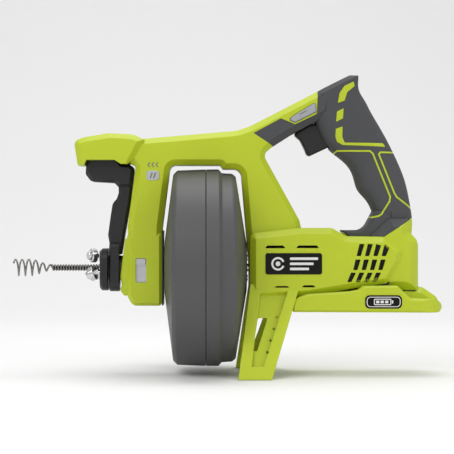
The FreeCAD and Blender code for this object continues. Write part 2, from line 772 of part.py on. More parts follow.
def gear_outline(teeth, internal=False):
    """Closed list of (y, z) points of a straight-segment involute gear, tooth 0 on +Y."""
    pitch_r = module_mm * teeth / 2
    base_r = pitch_r * math.cos(pressure_angle)
    if internal:
        tip_r, root_r = pitch_r - 0.8 * module_mm, pitch_r + 1.25 * module_mm
    else:
        tip_r, root_r = pitch_r + module_mm, pitch_r - 1.25 * module_mm
    inv_pitch = math.tan(pressure_angle) - pressure_angle
    half = math.pi / (2 * teeth)
    slack = tooth_backlash / 2 / pitch_r

    def flank(radius):
        """Half the angle of the tooth, or of the ring's tooth space, at a radius."""
        r = max(radius, base_r)
        phi = math.acos(base_r / r)
        grow = inv_pitch - (math.tan(phi) - phi)
        return half + grow + (slack if internal else -slack)

    low, high = (tip_r, root_r) if internal else (root_r, tip_r)
    radii = [low + (high - low) * k / 4 for k in range(5)]
    points = []
    for tooth in range(teeth):
        centre = 2 * math.pi * tooth / teeth
        for r in radii:
            a = centre - flank(r)
            points.append((r * math.cos(a), r * math.sin(a)))
        for r in reversed(radii):
            a = centre + flank(r)
            points.append((r * math.cos(a), r * math.sin(a)))
    return points


def gear_solid(teeth, x0, width, turn, y=0.0, z=0.0, internal=False):
    """Toothed prism along X, turned by an angle about its own axis."""
    points = []
    c, s = math.cos(turn), math.sin(turn)
    for a, b in gear_outline(teeth, internal):
        points.append(V(x0, y + a * c - b * s, axis_z + z + a * s + b * c))
    face = Part.Face(Part.makePolygon(points + points[:1]))
    return face.extrude(V(width, 0, 0))


orbit_radius = module_mm * (sun_teeth + planet_teeth) / 2


def planet_place(k):
    angle = 2 * math.pi * k / planet_count
    return angle, orbit_radius * math.cos(angle), orbit_radius * math.sin(angle)


def carrier_pin(x0, k, length=gear_width + 1.4):
    _, y, z = planet_place(k)
    return rod(pin_radius, x0, x0 + length, y, axis_z + z)


def planet_gear(x0, k):
    """Planet k; its teeth mesh with a sun whose tooth 0 lies on +Y."""
    angle, y, z = planet_place(k)
    turn = angle + math.pi + math.pi / planet_teeth + angle * sun_teeth / planet_teeth
    wheel = gear_solid(planet_teeth, x0, gear_width, turn, y, z)
    return wheel.cut(rod(pin_radius + run_gap, x0 - 1, x0 + gear_width + 1, y, axis_z + z))


ring_outer = module_mm * ring_teeth / 2 + 2.5
case_radius = ring_outer + 1.6
carrier_radius = orbit_radius + pin_radius + 3.5
stage_two_x = rear_x + 15 + 3.5 + 0.6
carrier_one_x = stage_two_x + gear_width + 1.6
stage_one_x = carrier_one_x + 3.0 + 0.6
cover_x = stage_one_x + gear_width + 1.7
motor_x = cover_x + 2.5
fan_x = receiver["x0"] - 12.5
motor_long = min(motor_length, fan_x - motor_x - 8.0)


def ring_gear():
    """One long ring gear that serves both stages."""
    x0 = stage_two_x - 0.3
    length = stage_one_x + gear_width + 0.3 - x0
    blank = rod(ring_outer, x0, x0 + length)
    turn = math.pi / ring_teeth * ring_phase()
    return blank.cut(gear_solid(ring_teeth, x0 - 1, length + 2, turn, internal=True))


def ring_phase():
    """0 when a ring space faces planet 0's outer tooth, 1 when a ring tooth does."""
    return 0 if (planet_teeth // 2) % 2 else 1


def stage_one_carrier():
    """First carrier, its pins towards the motor and the second sun towards the drum."""
    disc = rod(carrier_radius, carrier_one_x, carrier_one_x + 3.0)
    pins = [carrier_pin(carrier_one_x + 3.0, k) for k in range(planet_count)]
    sun = gear_solid(sun_teeth, stage_two_x, gear_width + 1.6, 0)
    return fused([disc, sun] + pins)


def gearbox_case():
    x = rear_x
    front = x + 2.5 + shell_wall
    profile = [
        (front, bearing_radius, 0), (front, 14.5, 1), (front + 7.5, 14.5, 1),
        (front + 9.3, case_radius, 2), (cover_x, case_radius, 0), (cover_x, ring_outer, 0),
        (stage_two_x - 5.2, ring_outer, 0), (stage_two_x - 5.2, 14, 0), (front + 7.2, 9, 0),
        (front + 7.2, bearing_radius, 0),
    ]
    return turned(profile)


def gearbox_cover():
    disc = rod(case_radius, cover_x, motor_x)
    return disc.cut(rod(7, cover_x - 1, motor_x + 1))


def ball_bearing(x0, bore, outer, width):
    """Inner race, outer race and a ring of balls, as separate solids."""
    mid = (bore + outer) / 2
    thick = (outer - bore) * 0.28
    ball = (outer - bore) * 0.21
    inner = rod(bore + thick, x0, x0 + width).cut(rod(bore, x0 - 1, x0 + width + 1))
    outside = rod(outer, x0, x0 + width).cut(rod(outer - thick, x0 - 1, x0 + width + 1))
    balls = []
    for k in range(8):
        angle = 2 * math.pi * k / 8
        centre = V(x0 + width / 2, mid * math.cos(angle), axis_z + mid * math.sin(angle))
        balls.append(Part.makeSphere(ball, centre))
    return Part.makeCompound([inner, outside] + balls)


def motor_can():
    x0, x1 = motor_x, motor_x + motor_long
    shell = rod(motor_radius, x0, x1).cut(rod(motor_radius - 1.6, x0 + 1.6, x1 + 1))
    shell = shell.cut(rod(rotor_shaft_radius + run_gap, x0 - 1, x0 + 3))
    for k in range(4):
        angle = math.radians(45 + 90 * k)
        hole = rod(2.5, x0 - 1, x0 + 3, 14 * math.cos(angle), axis_z + 14 * math.sin(angle))
        shell = shell.cut(hole)
    return shell


def motor_magnets():
    """Two curved magnets inside the can."""
    ring = rod(motor_radius - 1.6, motor_x + 6, motor_x + motor_long - 10)
    ring = ring.cut(rod(motor_radius - 4.6, motor_x + 5, motor_x + motor_long - 9))
    gap = block(motor_x, motor_x + motor_long, -3, 3, axis_z - 30, axis_z + 30)
    return ring.cut(gap)


def motor_end_cap():
    x0 = motor_x + motor_long
    cap = rod(motor_radius, x0, x0 + 3.5).fuse(rod(7, x0 + 3.5, x0 + 6))
    return cap.removeSplitter().cut(rod(rotor_shaft_radius + run_gap, x0 - 1, x0 + 8))


def rotor_shaft():
    """Motor shaft with the first sun cut on its end."""
    pinion = gear_solid(sun_teeth, stage_one_x, gear_width + 0.6, 0)
    shaft = rod(rotor_shaft_radius, stage_one_x + gear_width + 0.6, receiver["x0"] - 1.5)
    return fused([pinion, shaft])


def armature():
    """Slotted core and commutator on the motor shaft."""
    end = motor_x + motor_long
    core = rod(motor_radius - 6.2, motor_x + 10, end - 14)
    slots = []
    for k in range(5):
        slot = block(motor_x + 9, end - 13, -1.2, 1.2, axis_z + 7, axis_z + motor_radius - 5)
        slot.rotate(V(0, 0, axis_z), V(1, 0, 0), 72 * k)
        slots.append(slot)
    core = core.cut(slots).fuse(rod(6.5, end - 14, end - 3)).removeSplitter()
    return core.cut(rod(rotor_shaft_radius, motor_x, end))


def cooling_fan():
    """Radial fan between the motor and the air slots."""
    x0 = fan_x
    disc = rod(fan_radius, x0, x0 + 1.6).fuse(rod(6, x0, x0 + 9))
    blades = []
    for k in range(9):
        blade = block(x0 + 1.6, x0 + 9, -0.7, 0.7, axis_z + 5, axis_z + fan_radius - 0.6)
        blade.rotate(V(0, 0, axis_z), V(1, 0, 0), 40 * k)
        blades.append(blade)
    return disc.multiFuse(blades).removeSplitter().cut(rod(rotor_shaft_radius, x0 - 1, x0 + 12))


# ---- feed head and lever

def feed_head():
    """Fixed nose: rounded block, neck through the lever's fork and a collar inside."""
    corners = [low_front(0, -22.5, 14), low_front(0, 19.2, 14)]
    z0, z1 = corners[0][1], corners[1][1]
    wire = [(-20, z0, 12), (20, z0, 12), (20, z1, 12), (-20, z1, 12)]
    face = rounded_face(wire)
    face.rotate(V(0, 0, 0), V(0, 0, 1), 90)
    front = front_x - 64
    nose = face.extrude(V(7.6, 0, 0))
    nose.translate(V(front, 0, 0))
    rim = [e for e in nose.Edges if all(abs(v.X - front) < 1e-6 for v in e.Vertexes)]
    nose = nose.makeChamfer(2.2, rim)
    neck = rod(head_neck_radius, front + 7, front_x - 29.6)
    collar = rod(head_neck_radius + 3.5, front_x - 32.6, front_x - 29.6)
    body = fused([nose, neck, collar])
    body = body.cut(rod(guide_outer, front - 1, front_x - 28))
    for k in range(3):
        slot = block(front - 1, front + 4.2, -4.6, 4.6, axis_z, axis_z + 17.6)
        slot.rotate(V(0, 0, axis_z), V(1, 0, 0), 120 * k)
        body = body.cut(slot)
    return body


def guide_tube():
    """Steel tube that leads the cable from the drum's neck to the rollers."""
    x0, x1 = front_x - 59.5, front_x - neck_length - 1.2
    return rod(guide_outer, x0, x1).cut(rod(guide_bore, x0 - 1, x1 + 1))


def place_on_head(shape, k):
    shape.rotate(V(0, 0, axis_z), V(1, 0, 0), 120 * k)
    return shape


def roller_frame():
    """Centre and axis of roller 0, above the cable and skewed about its own radius."""
    centre = V(front_x - 71.5, 0, axis_z + roller_orbit)
    skew = math.radians(roller_skew)
    return centre, V(math.cos(skew), math.sin(skew), 0)


def roller_carrier(k):
    """Sliding block that carries one roller's axle screw."""
    front = front_x - 65.4
    body = block(front, front + 5.3, -4.5, 4.5, axis_z + 7, axis_z + 17)
    edges = [e for e in body.Edges if abs(e.BoundBox.XLength - 5.3) < 1e-6]
    body = body.makeFillet(1.5, edges)
    centre, axis = roller_frame()
    hole = Part.makeCylinder(roller_axle_radius, 14, centre + axis * 3, axis)
    return place_on_head(body.cut(hole), k)


def feed_roller(k):
    """Hardened roller, crowned at its edges."""
    centre, axis = roller_frame()
    start = centre - axis * (feed_roller_width / 2)
    body = Part.makeCylinder(feed_roller_radius, feed_roller_width, start, axis)
    body = body.makeFillet(1.2, [e for e in body.Edges if len(e.Vertexes) == 1])
    bore = Part.makeCylinder(roller_axle_radius + run_gap, feed_roller_width + 2, start - axis, axis)
    return place_on_head(body.cut(bore), k)


def roller_screw(k):
    """Domed axle screw through a roller into its carrier."""
    centre, axis = roller_frame()
    seat = centre - axis * (feed_roller_width / 2 + 0.3)
    dome_radius = 4.4
    dome = Part.makeSphere(dome_radius, seat)
    front = Part.makeCylinder(dome_radius + 1, 10, seat, V(-axis.x, -axis.y, 0))
    dome = dome.common(front)
    squash = Part.makeCylinder(dome_radius + 1, 2.6, seat, V(-axis.x, -axis.y, 0))
    dome = dome.common(squash)
    length = feed_roller_width + 0.6 + 4.0
    shank = Part.makeCylinder(roller_axle_radius, length, seat, axis)
    across = axis.cross(V(0, 0, 1))
    slot = Part.makeBox(10, 1.1, 2, V(-5, -0.55, 0))
    slot.Placement = FreeCAD.Placement(seat - axis * 2.7,
                                       FreeCAD.Rotation(across, V(0, 0, 1), axis, "XYZ"))
    body = shank.fuse(dome).removeSplitter().cut(slot)
    return place_on_head(body, k)


def feed_lever():
    """Squeezed lever: grip pad under the hood, arm down the column, fork round the neck."""
    pad_corners = [
        top_front(-77.7, 9, 2), top_front(-78.3, -9.2, 3), top_front(-72.9, -16.2, 6),
        top_front(-49.6, -17.6, 3), top_front(-45.9, -21.8, 4), top_front(-32, -22, 2),
        top_front(-30.2, -2.6, 3), top_front(-35.5, 1.3, 2), top_front(-42.5, 1.2, 2),
        top_front(-47.5, 9, 2),
    ]
    grip = pad(pad_corners, 14, 3.5)
    arm_corners = [
        top_front(-49.9, -17.6), top_front(-45.9, -21.8), top_front(-45.7, -27.3, 6),
        top_front(-47.7, -33.3, 6), top_front(-51.8, -38, 8), top_front(-53.6, -49.5, 20),
        low_front(-56.3, 32.5, 8), low_front(-54.8, 24), low_front(-52, 13.4),
        low_front(-42.7, 13.4), low_front(-39.4, 34), top_front(-33.7, -34.9),
        top_front(-30.6, -6, 2), top_front(-40, -6),
    ]
    arm = pad(arm_corners, 10.5, 2.5)
    near = fused([grip, arm])
    body = near.fuse(mirrored(near)).removeSplitter()
    rear_face = front_x - 45.2
    thick = 9.6
    z0, z1 = axis_z - 23.3, axis_z + 26
    face = rounded_face([(-19, z0, 9), (19, z0, 9), (14, z1, 6), (-14, z1, 6)])
    face.rotate(V(0, 0, 0), V(0, 0, 1), 90)
    fork = face.extrude(V(thick, 0, 0))
    fork.translate(V(rear_face - thick, 0, 0))
    rims = [e for e in fork.Edges
            if all(abs(v.X - rear_face + thick) < 1e-6 for v in e.Vertexes)]
    fork = fork.makeChamfer(1.2, rims)
    room = head_neck_radius + 0.6
    hole = rod(room, rear_face - thick - 1, rear_face + 1)
    drop = rod(room, rear_face - thick - 1, rear_face + 1, 0, axis_z - lever_travel - 0.2)
    between = block(rear_face - thick - 1, rear_face + 1, -room, room,
                    axis_z - lever_travel - 0.2, axis_z)
    body = body.fuse(fork).removeSplitter()
    return body.cut([hole, drop, between])


def lever_spring():
    """Return spring in the hood, as its outer sleeve."""
    x, z, _ = top_front(-62, 9.1)
    tube = Part.makeCylinder(4.5, 16.7, V(x, 0, z), V(0, 0, 1))
    return tube.cut(Part.makeCylinder(3.3, 18, V(x, 0, z - 0.5), V(0, 0, 1)))


def feed_bracket():
    """Steel channel inside the front block, seen through its two windows."""
    depth = block_depth - shell_wall - 0.2
    x0, x1 = front_x - 29, front_x - 15.5
    z0, z1 = axis_z - 15, axis_z + 10.3
    body = block(x0, x1, -depth, depth, z0, z1)
    body = body.cut(block(x0 - 1, x1 - 1.6, -depth + 1.6, depth - 1.6, z0 - 1, z1 + 1))
    lip_top, lip_low = axis_z + 9.1, axis_z + 3.4
    lips = [block(x0 + 1.2, x1 - 3.2, -block_depth - 0.5, -depth, lip_low, lip_top)]
    lips.append(mirrored(lips[0]))
    body = fused([body] + lips)
    return body.cut(rod(guide_outer + 0.3, x0 - 1, x1 + 1))


def front_bearing():
    x0 = front_x - neck_length + 2
    return rod(neck_radius + 5, x0, front_x - 2.4).cut(rod(neck_radius + run_gap, x0 - 1, front_x))


def wear_plate():
    """Black plate on the front block that faces the drum."""
    x0 = front_x - 2.3
    body = block(x0, x0 + 1.2, -22, 22, axis_z - 37, axis_z + 37)
    return body.cut(rod(neck_radius + 0.6, x0 - 1, x0 + 3))


# ---- cable

def cable_lead():
    return rod(cable_radius, front_x - nose_reach + bulb_length, front_x + 30)


def auger_bulb():
    """Outer shape of the open coil at the cable's end."""
    tip = front_x - nose_reach
    w = bulb_wire
    r = bulb_radius
    base = tip + bulb_length
    profile = [
        (tip, r * 0.86, 0.5), (tip + 9, r, 6), (base - 16, r * 0.95, 10), (base - 4, 4.2, 4),
        (base, cable_radius, 0), (base, cable_radius - w, 0), (base - 4, 4.2 - w, 3),
        (base - 16, r * 0.95 - w, 8), (tip + 9, r - w, 6), (tip, r * 0.86 - w, 0.5),
    ]
    return turned(profile)


# ---- controls

def trigger():
    corners = [
        top_rear(46.1, 31.1, 1.5), top_rear(53.1, 25.3, 8), top_rear(57.5, 16.6, 8),
        top_rear(59.7, 10.8, 2), top_rear(62.5, 9.2, 2), top_rear(78.5, 16.7, 1),
        top_rear(88.5, 21.7, 1), top_rear(79.0, 43.6, 1), top_rear(62.5, 41.0, 1),
    ]
    near = pad(corners, trigger_half_width, 2.0)
    return near.fuse(mirrored(near)).removeSplitter()


def direction_selector():
    """Push-through button above the trigger."""
    corners = selector_outline()
    near = pad(corners, frame_depth + selector_proud, 1.0)
    return near.fuse(mirrored(near)).removeSplitter()


def switch_module():
    """Trigger switch in the grip."""
    corners = [grip_point(98, 9.5, 1), grip_point(121, 9.5, 1), grip_point(121, 32, 1),
               grip_point(98, 32, 1)]
    return prism(corners, -9, 9)


def battery_receiver():
    """Open-bottomed box that takes the battery's post."""
    r = receiver
    body = block(r["x0"], r["x1"], -r["y"], r["y"], r["z0"], r["z1"])
    w = r["wall"]
    inner = block(r["x0"] + w, r["x1"] - w, -r["y"] + w, r["y"] - w, r["z0"] - 1, r["z1"] - w)
    return body.cut(inner)


def battery_terminals():
    """Three contact blades at the top of the receiver."""
    r = receiver
    x = (r["x0"] + r["x1"]) / 2
    top = r["z1"] - r["wall"]
    return Part.makeCompound([block(x - 5, x + 5, y - 0.5, y + 0.5, top - 9, top)
                              for y in (-9.0, 0.0, 9.0)])


# ---- build every node

left, right, soft_left, soft_right = build_housing()
save("housing_left", left)
save("housing_right", right)
save("grip_cover_left", soft_left)
save("grip_cover_right", soft_right)
save("housing_screws", housing_screws())

side_badge = plate(low_rear(45.4, 4.5), 55.3, 20.8, 2.2, barrel_depth)
save("side_badge_left", side_badge)
save("side_badge_right", mirrored(side_badge))
shoe_badge = plate(low_rear(132.8, -32.6), 36.0, 13.0, 4.5, foot_depth)
save("shoe_badge_left", shoe_badge)
save("shoe_badge_right", mirrored(shoe_badge))
feed_badge = plate(top_front(-11.5, -10.4), 12.6, 9.4, 2.6, frame_depth, 0.6)
save("feed_badge_left", feed_badge)
save("feed_badge_right", mirrored(feed_badge))

save("drum_front_shell", drum_front_shell())
save("drum_rear_shell", drum_rear_shell())
save("drum_spindle", drum_spindle())
save("hub_screws", hub_screws())
save("cable_coil", cable_coil())
save("cable_lead", cable_lead())
save("auger_bulb", auger_bulb())

save("gearbox_case", gearbox_case())
save("gearbox_cover", gearbox_cover())
save("ring_gear", ring_gear())
save("spindle_bearing", ball_bearing(rear_x + 2.5 + shell_wall, spindle_radius + run_gap,
                                     bearing_radius, 7.0))
for k in range(planet_count):
    save("output_planet_%d" % (k + 1), planet_gear(stage_two_x, k))
for k in range(planet_count):
    save("input_planet_%d" % (k + 1), planet_gear(stage_one_x, k))
save("stage_one_carrier", stage_one_carrier())
save("motor_can", motor_can())
save("motor_magnets", motor_magnets())
save("motor_end_cap", motor_end_cap())
save("rotor_shaft", rotor_shaft())
save("armature", armature())
save("cooling_fan", cooling_fan())

save("feed_head", feed_head())
save("guide_tube", guide_tube())
save("feed_bracket", feed_bracket())
save("front_bearing", front_bearing())
save("wear_plate", wear_plate())
for k in range(3):
    save("roller_carrier_%d" % (k + 1), roller_carrier(k))
    save("roller_screw_%d" % (k + 1), roller_screw(k))
    save("feed_roller_%d" % (k + 1), feed_roller(k))
save("feed_lever", feed_lever())
save("lever_spring", lever_spring())

save("trigger", trigger())
save("direction_selector", direction_selector())
save("switch_module", switch_module())
save("battery_receiver", battery_receiver())
save("battery_terminals", battery_terminals())
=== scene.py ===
import json
import math

import bmesh
import bpy
from mathutils import Matrix, Vector


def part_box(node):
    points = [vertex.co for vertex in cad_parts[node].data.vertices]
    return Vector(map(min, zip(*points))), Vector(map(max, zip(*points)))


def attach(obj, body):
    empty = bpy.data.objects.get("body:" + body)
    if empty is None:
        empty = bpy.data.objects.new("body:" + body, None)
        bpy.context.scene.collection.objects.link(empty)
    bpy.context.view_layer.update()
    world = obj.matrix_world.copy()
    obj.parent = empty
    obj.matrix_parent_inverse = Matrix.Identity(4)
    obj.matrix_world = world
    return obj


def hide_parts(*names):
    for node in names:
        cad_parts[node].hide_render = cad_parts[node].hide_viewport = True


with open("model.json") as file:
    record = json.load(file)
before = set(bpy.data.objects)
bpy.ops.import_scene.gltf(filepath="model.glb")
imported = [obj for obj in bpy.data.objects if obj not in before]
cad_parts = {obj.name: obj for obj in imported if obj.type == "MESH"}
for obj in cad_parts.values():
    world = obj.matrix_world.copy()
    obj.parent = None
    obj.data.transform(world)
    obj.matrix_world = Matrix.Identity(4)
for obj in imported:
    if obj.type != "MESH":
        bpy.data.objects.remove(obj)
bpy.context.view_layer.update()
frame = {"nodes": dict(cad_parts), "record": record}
print("frame loaded")

nodes = frame["nodes"]
record = frame["record"]
slotOf = {entry["node"]: entry["material_slot"] for entry in record["subparts"]}


# where the main pieces sit, read from the frame
def middle(node):
    low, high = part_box(node)
    return [(a + b) / 2 for a, b in zip(low, high)]


drumAxisZ = middle("front_bearing")[2]
bulbLow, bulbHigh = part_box("auger_bulb")
leadLow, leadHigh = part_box("cable_lead")


# shader groups that several finishes share

def newGroup(name, inputs, outputs):
    tree = bpy.data.node_groups.new(name, "ShaderNodeTree")
    for label, kind, value in inputs:
        socket = tree.interface.new_socket(name=label, in_out="INPUT", socket_type=kind)
        socket.default_value = value
    for label, kind in outputs:
        tree.interface.new_socket(name=label, in_out="OUTPUT", socket_type=kind)
    return tree, tree.nodes.new("NodeGroupInput"), tree.nodes.new("NodeGroupOutput")


def mathNode(tree, operation, a, b=None):
    node = tree.nodes.new("ShaderNodeMath")
    node.operation = operation
    for socket, value in zip(node.inputs, (a, b)):
        if value is None:
            continue
        if isinstance(value, (int, float)):
            socket.default_value = value
        else:
            tree.links.new(value, socket)
    return node.outputs[0]


def buildGrainGroup():
    # two sizes of noise: a fine moulded texture and a slow change of shade
    tree, into, out = newGroup(
        "mouldedGrain",
        [("Grain Scale", "NodeSocketFloat", 900.0), ("Shade Scale", "NodeSocketFloat", 14.0)],
        [("Height", "NodeSocketFloat"), ("Shade", "NodeSocketFloat")])
    coords = tree.nodes.new("ShaderNodeTexCoord")
    for label, socketName, detail in (("Grain Scale", "Height", 3.0), ("Shade Scale", "Shade", 4.0)):
        noise = tree.nodes.new("ShaderNodeTexNoise")
        noise.inputs["Detail"].default_value = detail
        noise.inputs["Roughness"].default_value = 0.6
        tree.links.new(coords.outputs["Object"], noise.inputs["Vector"])
        tree.links.new(into.outputs[label], noise.inputs["Scale"])
        tree.links.new(noise.outputs["Fac"], out.inputs[socketName])
    return tree


def buildEdgeGroup():
    # rounded normal, and a mask that is 1 along the edges, where the finishes paint a highlight (painted
    # shade on the grip)
    tree, into, out = newGroup(
        "softEdge",
        [("Radius", "NodeSocketFloat", 0.0008), ("Strength", "NodeSocketFloat", 1.0)],
        [("Normal", "NodeSocketVector"), ("Edge", "NodeSocketFloat")])
    bevel = tree.nodes.new("ShaderNodeBevel")
    bevel.samples = 6
    geometry = tree.nodes.new("ShaderNodeNewGeometry")
    dot = tree.nodes.new("ShaderNodeVectorMath")
    dot.operation = "DOT_PRODUCT"
    tree.links.new(into.outputs["Radius"], bevel.inputs["Radius"])
    tree.links.new(bevel.outputs["Normal"], dot.inputs[0])
    tree.links.new(geometry.outputs["Normal"], dot.inputs[1])
    gap = mathNode(tree, "SUBTRACT", 1.0, dot.outputs["Value"])
    raised = mathNode(tree, "MULTIPLY", gap, 5.0)
    scaled = mathNode(tree, "MULTIPLY", raised, into.outputs["Strength"])
    clamp = mathNode(tree, "MINIMUM", scaled, 1.0)
    tree.links.new(bevel.outputs["Normal"], out.inputs["Normal"])
    tree.links.new(clamp, out.inputs["Edge"])
    return tree


gripFrame = {"base": (0.151, 0.0, 0.140), "lean": 26.565}


def stepUp(tree, value, start, width):
    # 0 below start, 1 above start + width
    node = tree.nodes.new("ShaderNodeMapRange")
    node.inputs["From Min"].default_value = start
    node.inputs["From Max"].default_value = start + width
    tree.links.new(value, node.inputs["Value"])
    return node.outputs["Result"]


def buildDotGroup():
    # dots on the rear pad of the grip and fine ribs down its front edge
    tree, into, out = newGroup(
        "gripDots", [("Scale", "NodeSocketFloat", 560.0), ("Pad Front", "NodeSocketFloat", 0.036),
                     ("Rib Pitch", "NodeSocketFloat", 0.0014)], [("Height", "NodeSocketFloat")])
    coords = tree.nodes.new("ShaderNodeTexCoord")
    turn = tree.nodes.new("ShaderNodeMapping")
    turn.vector_type = "TEXTURE"
    turn.inputs["Location"].default_value = gripFrame["base"]
    turn.inputs["Rotation"].default_value = (0, -math.radians(gripFrame["lean"]), 0)
    tree.links.new(coords.outputs["Object"], turn.inputs["Vector"])
    split = tree.nodes.new("ShaderNodeSeparateXYZ")
    tree.links.new(turn.outputs["Vector"], split.inputs["Vector"])
    back, up = split.outputs["X"], split.outputs["Z"]
    voronoi = tree.nodes.new("ShaderNodeTexVoronoi")
    voronoi.inputs["Randomness"].default_value = 0.1
    tree.links.new(turn.outputs["Vector"], voronoi.inputs["Vector"])
    tree.links.new(into.outputs["Scale"], voronoi.inputs["Scale"])
    dome = mathNode(tree, "MAXIMUM", mathNode(tree, "SUBTRACT", 0.42, voronoi.outputs["Distance"]), 0.0)
    # the pad's edge leans with the line beside it
    edge = mathNode(tree, "SUBTRACT", back, mathNode(tree, "MULTIPLY", up, 0.08))
    past = mathNode(tree, "GREATER_THAN", edge, into.outputs["Pad Front"])
    low = stepUp(tree, up, 0.012, 0.004)
    high = mathNode(tree, "SUBTRACT", 1.0, stepUp(tree, up, 0.062, 0.002))
    onPad = mathNode(tree, "MULTIPLY", past, mathNode(tree, "MULTIPLY", low, high))
    dots = mathNode(tree, "MULTIPLY", dome, onPad)
    wave = mathNode(tree, "SINE", mathNode(tree, "DIVIDE", mathNode(tree, "MULTIPLY", up, 2 * math.pi),
                                           into.outputs["Rib Pitch"]))
    front = mathNode(tree, "SUBTRACT", 1.0, stepUp(tree, back, 0.0085, 0.002))
    ribHigh = mathNode(tree, "SUBTRACT", 1.0, stepUp(tree, up, 0.084, 0.002))
    onFront = mathNode(tree, "MULTIPLY", mathNode(tree, "MULTIPLY", front, ribHigh),
                       stepUp(tree, up, 0.018, 0.002))
    ribs = mathNode(tree, "MULTIPLY", mathNode(tree, "MULTIPLY", wave, 0.22), onFront)
    tree.links.new(mathNode(tree, "ADD", dots, ribs), out.inputs["Height"])
    return tree


grainGroup = buildGrainGroup()
edgeGroup = buildEdgeGroup()
dotGroup = buildDotGroup()
print("shader groups built")


# finishes

# edge sets how strongly each finish paints light along its edges: a painted highlight, or painted shade
# where a dark edge colour is given
finishes = {
    "shell": dict(color=(0.455, 0.545, 0.016), rough=0.40, grain=1500, bump=0.05, vary=0.06,
                  edge=0.30, radius=0.0009, specular=0.40),
    # grip edges painted near black: painted shade standing in for the shadowed grooves round its stripes
    "soft_grip": dict(color=(0.066, 0.067, 0.071), rough=0.66, grain=2200, bump=0.12, vary=0.12,
                      edge=3.0, paintedEdgeLightShade=(0.006, 0.006, 0.006), radius=0.0007, specular=0.28,
                      dots=True),
    "drum_plastic": dict(color=(0.075, 0.075, 0.077), rough=0.48, grain=1300, bump=0.20,
                         vary=0.08, edge=0.18, radius=0.0006, specular=0.40),
    "black_plastic": dict(color=(0.013, 0.013, 0.015), rough=0.36, grain=1500, bump=0.07,
                          vary=0.10, edge=0.10, radius=0.0008, specular=0.40),
    "badge": dict(color=(0.004, 0.004, 0.004), rough=0.42, grain=600, bump=0.02, vary=0.05,
                  edge=0.05, radius=0.0002, specular=0.18),
    "silver_label": dict(color=(0.55, 0.56, 0.57), rough=0.32, grain=700, bump=0.03, vary=0.05,
                         edge=0.1, radius=0.0002, metallic=0.85),
    "selector_plastic": dict(color=(0.33, 0.34, 0.36), rough=0.45, grain=1500, bump=0.06,
                             vary=0.05, edge=0.15, radius=0.0004, specular=0.4),
    "cable_steel": dict(color=(0.23, 0.22, 0.21), rough=0.26, grain=900, bump=0.05, vary=0.25,
                        edge=0.0, radius=0.0001, metallic=1.0),
    "bright_steel": dict(color=(0.66, 0.66, 0.67), rough=0.16, grain=500, bump=0.02, vary=0.10,
                         edge=0.1, radius=0.0003, metallic=1.0),
    "dark_screw": dict(color=(0.12, 0.12, 0.13), rough=0.35, grain=700, bump=0.04, vary=0.15,
                       edge=0.2, radius=0.0002, metallic=1.0),
    "plain_steel": dict(color=(0.52, 0.52, 0.54), rough=0.34, grain=500, bump=0.04, vary=0.15,
                        edge=0.1, radius=0.0003, metallic=1.0),
    "cast_metal": dict(color=(0.45, 0.46, 0.48), rough=0.5, grain=700, bump=0.25, vary=0.1,
                       edge=0.1, radius=0.0004, metallic=1.0),
    "magnet": dict(color=(0.06, 0.06, 0.065), rough=0.5, grain=700, bump=0.1, vary=0.1,
                   edge=0.1, radius=0.0003, metallic=0.8),
    "winding": dict(color=(0.36, 0.20, 0.10), rough=0.4, grain=500, bump=0.2, vary=0.3,
                    edge=0.1, radius=0.0003, metallic=0.8),
    "contact_brass": dict(color=(0.62, 0.44, 0.18), rough=0.28, grain=500, bump=0.03, vary=0.1,
                          edge=0.1, radius=0.0002, metallic=1.0),
    "bronze": dict(color=(0.42, 0.28, 0.13), rough=0.45, grain=500, bump=0.1, vary=0.1,
                   edge=0.1, radius=0.0003, metallic=1.0),
    "mark_white": dict(color=(0.72, 0.72, 0.70), rough=0.45, grain=900, bump=0.02, vary=0.03,
                       edge=0.0, radius=0.0001, specular=0.4),
    "mark_grey": dict(color=(0.16, 0.17, 0.13), rough=0.5, grain=900, bump=0.02, vary=0.03,
                      edge=0.0, radius=0.0001, specular=0.4),
}


